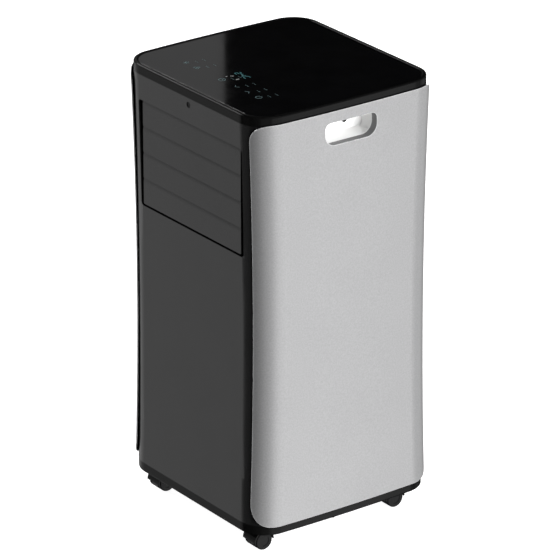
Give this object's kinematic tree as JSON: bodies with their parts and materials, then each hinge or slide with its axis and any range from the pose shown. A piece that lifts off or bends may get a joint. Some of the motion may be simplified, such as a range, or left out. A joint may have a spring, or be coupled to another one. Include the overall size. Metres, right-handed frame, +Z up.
{
  "type": "portable air conditioner",
  "caption": "Upright portable air conditioner on castors, with a swinging slat outlet, black glass control top, side handles, rear intake filters and a round exhaust collar.",
  "frame": {"origin": "on the floor, under the centre of the case", "axes": "+Z up, -Y out of the air outlet, +Y out of the exhaust collar"},
  "size_m": [0.355, 0.33, 0.703],
  "materials": {
    "front_grey": "satin",
    "black_plastic": "satin",
    "silver": "metallic satin",
    "collar_grey": "satin",
    "pocket_white": "satin",
    "black_glass": "gloss",
    "smoked": "gloss",
    "inner_grey": "matte",
    "steel": "satin",
    "black_steel": "satin",
    "fin_aluminium": "bright",
    "copper": "bright",
    "board_green": "gloss",
    "filter_mesh": "matte",
    "black_rubber": "matte"
  },
  "bodies": {
    "chassis": {"front_panel": "front_grey", "rear_panel": "front_grey", "rear_cheeks": "front_grey", "base_tray": "black_plastic", "top_cover": "black_plastic", "right_side_carrier": "black_plastic", "left_side_carrier": "black_plastic", "exhaust_collar": "black_plastic", "cord_inlet": "black_plastic", "handle_screws": "black_plastic", "right_side_skin": "silver", "left_side_skin": "silver", "handle_frames": "collar_grey", "handle_cups": "pocket_white", "control_glass": "black_glass", "ir_window": "smoked", "outlet_duct": "inner_grey", "guide_vanes": "inner_grey", "evaporator_scroll": "inner_grey", "condenser_scroll": "inner_grey", "drip_deck": "inner_grey", "float_switch": "inner_grey", "evaporator_motor": "steel", "condenser_motor": "steel", "splash_motor": "steel", "slat_motor": "steel", "control_box": "steel", "run_capacitor": "steel", "compressor": "black_steel", "accumulator": "black_steel", "evaporator_coil": "fin_aluminium", "condenser_coil": "fin_aluminium", "discharge_pipe": "copper", "suction_pipe": "copper", "capillary": "copper", "main_board": "board_green", "display_board": "board_green", "compressor_mounts": "black_rubber"},
    "upper_filter_unit": {"upper_grille": "front_grey", "upper_filter": "filter_mesh"},
    "lower_filter_unit": {"lower_grille": "front_grey", "lower_filter": "filter_mesh"},
    "upper_plug": {"upper_drain_plug": "black_rubber"},
    "lower_plug": {"lower_drain_plug": "black_rubber"},
    "evaporator_rotor": {"evaporator_drum": "inner_grey"},
    "condenser_rotor": {"condenser_drum": "inner_grey"},
    "splash_rotor": {"splash_wheel": "inner_grey"},
    "link": {"slat_link": "inner_grey"},
    "slat_1_body": {"slat_1": "front_grey"},
    "slat_2_body": {"slat_2": "front_grey"},
    "slat_3_body": {"slat_3": "front_grey"},
    "slat_4_body": {"slat_4": "front_grey"},
    "castor_fl_swivel": {"castor_fl_yoke": "black_plastic"},
    "castor_fl_roll": {"castor_fl_wheels": "black_rubber"},
    "castor_fr_swivel": {"castor_fr_yoke": "black_plastic"},
    "castor_fr_roll": {"castor_fr_wheels": "black_rubber"},
    "castor_rl_swivel": {"castor_rl_yoke": "black_plastic"},
    "castor_rl_roll": {"castor_rl_wheels": "black_rubber"},
    "castor_rr_swivel": {"castor_rr_yoke": "black_plastic"},
    "castor_rr_roll": {"castor_rr_wheels": "black_rubber"}
  },
  "joints": [
    {"name": "slat_1_turn", "type": "hinge", "parent": "chassis", "child": "slat_1_body", "pos_m": [0, -0.1505, 0.626], "axis": [1, 0, 0], "range_deg": [0, 75]},
    {"name": "slat_2_turn", "type": "hinge", "parent": "chassis", "child": "slat_2_body", "pos_m": [0, -0.1505, 0.5846], "axis": [1, 0, 0], "range_deg": [0, 75]},
    {"name": "slat_3_turn", "type": "hinge", "parent": "chassis", "child": "slat_3_body", "pos_m": [0, -0.1505, 0.5432], "axis": [1, 0, 0], "range_deg": [0, 75]},
    {"name": "slat_4_turn", "type": "hinge", "parent": "chassis", "child": "slat_4_body", "pos_m": [0, -0.1505, 0.5018], "axis": [1, 0, 0], "range_deg": [0, 75]},
    {"name": "link_pivot", "type": "hinge", "parent": "slat_1_body", "child": "link", "pos_m": [-0.1264, -0.14257, 0.61991], "axis": [1, 0, 0], "range_deg": [-75, 0]},
    {"name": "evaporator_spin", "type": "hinge", "parent": "chassis", "child": "evaporator_rotor", "pos_m": [0, 0, 0.552], "axis": [1, 0, 0], "continuous": true},
    {"name": "condenser_spin", "type": "hinge", "parent": "chassis", "child": "condenser_rotor", "pos_m": [0, 0.004, 0.32575], "axis": [1, 0, 0], "continuous": true},
    {"name": "splash_spin", "type": "hinge", "parent": "chassis", "child": "splash_rotor", "pos_m": [0.06, 0.07, 0.069], "axis": [1, 0, 0], "continuous": true},
    {"name": "upper_filter_unit_pull", "type": "slide", "parent": "chassis", "child": "upper_filter_unit", "axis": [0, 1, 0], "range_m": [0, 0.06]},
    {"name": "lower_filter_unit_pull", "type": "slide", "parent": "chassis", "child": "lower_filter_unit", "axis": [0, 1, 0], "range_m": [0, 0.06]},
    {"name": "upper_plug_pull", "type": "slide", "parent": "chassis", "child": "upper_plug", "axis": [0, 1, 0], "range_m": [0, 0.03]},
    {"name": "lower_plug_pull", "type": "slide", "parent": "chassis", "child": "lower_plug", "axis": [0, 1, 0], "range_m": [0, 0.03]},
    {"name": "castor_fl_turn", "type": "hinge", "parent": "chassis", "child": "castor_fl_swivel", "pos_m": [-0.126, -0.1205, 0.036], "axis": [0, 0, 1], "continuous": true},
    {"name": "castor_fl_spin", "type": "hinge", "parent": "castor_fl_swivel", "child": "castor_fl_roll", "pos_m": [-0.126, -0.1315, 0.0146], "axis": [1, 0, 0], "continuous": true},
    {"name": "castor_fr_turn", "type": "hinge", "parent": "chassis", "child": "castor_fr_swivel", "pos_m": [0.126, -0.1205, 0.036], "axis": [0, 0, 1], "continuous": true},
    {"name": "castor_fr_spin", "type": "hinge", "parent": "castor_fr_swivel", "child": "castor_fr_roll", "pos_m": [0.126, -0.1315, 0.0146], "axis": [1, 0, 0], "continuous": true},
    {"name": "castor_rl_turn", "type": "hinge", "parent": "chassis", "child": "castor_rl_swivel", "pos_m": [-0.126, 0.128, 0.036], "axis": [0, 0, 1], "continuous": true},
    {"name": "castor_rl_spin", "type": "hinge", "parent": "castor_rl_swivel", "child": "castor_rl_roll", "pos_m": [-0.126, 0.117, 0.0146], "axis": [1, 0, 0], "continuous": true},
    {"name": "castor_rr_turn", "type": "hinge", "parent": "chassis", "child": "castor_rr_swivel", "pos_m": [0.126, 0.128, 0.036], "axis": [0, 0, 1], "continuous": true},
    {"name": "castor_rr_spin", "type": "hinge", "parent": "castor_rr_swivel", "child": "castor_rr_roll", "pos_m": [0.126, 0.117, 0.0146], "axis": [1, 0, 0], "continuous": true}
  ],
  "couplings": [
    {"joint": "slat_2_turn", "follows": "slat_1_turn", "ratio": 1},
    {"joint": "slat_3_turn", "follows": "slat_1_turn", "ratio": 1},
    {"joint": "slat_4_turn", "follows": "slat_1_turn", "ratio": 1},
    {"joint": "link_pivot", "follows": "slat_1_turn", "ratio": -1}
  ]
}
